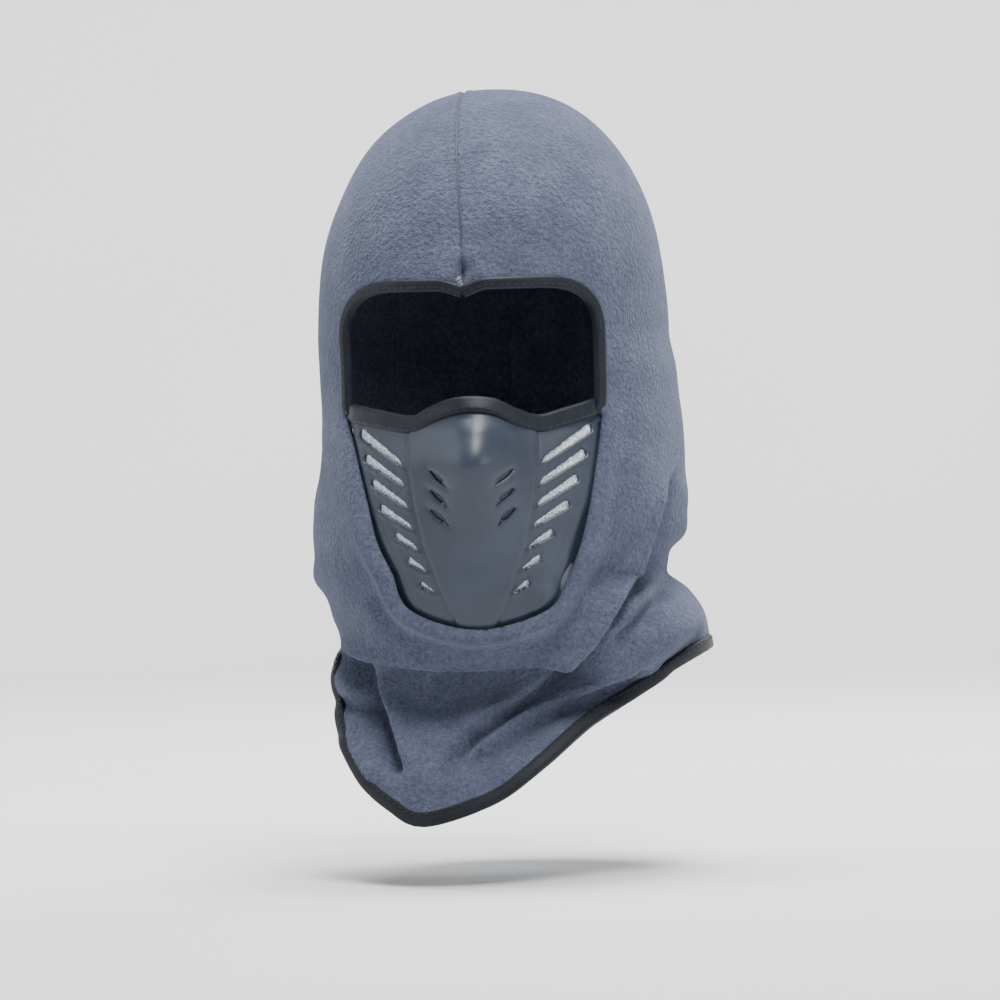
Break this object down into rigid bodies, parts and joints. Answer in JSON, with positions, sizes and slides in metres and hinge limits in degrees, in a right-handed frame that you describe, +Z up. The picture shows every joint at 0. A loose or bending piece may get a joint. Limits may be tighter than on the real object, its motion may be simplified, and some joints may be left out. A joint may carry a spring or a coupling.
{
  "type": "balaclava",
  "caption": "Grey fleece balaclava shaped as worn, with a black bound eye slot, a moulded vented mask over nose and mouth and a draped neck skirt",
  "frame": {"origin": "middle of the wearer's head at eye level, between front and back", "axes": "+Z up through the crown, -Y the way the face looks, +X towards the wearer's left"},
  "size_m": [0.1846, 0.2285, 0.3336],
  "materials": {
    "fleece": "matte",
    "binding_black": "matte",
    "hem_tape": "matte",
    "thread_black": "matte",
    "thread_grey": "matte",
    "mask_plastic": "satin",
    "vent_mesh": "matte",
    "liner": "matte"
  },
  "bodies": {
    "root": {"hood_fleece": "fleece", "seam_overlock": "thread_grey", "eye_binding_right": "binding_black", "eye_binding_left": "binding_black", "eye_binding_stitches": "thread_black", "notch_bar_tack": "thread_grey", "nose_binding": "binding_black", "nose_binding_stitches": "thread_black", "mask_plate": "mask_plastic", "vent_mesh_right": "vent_mesh", "vent_mesh_left": "vent_mesh", "mask_liner": "liner", "mask_stitches": "thread_grey", "hem_binding": "hem_tape", "hem_stitches": "thread_grey"}
  },
  "joints": []
}
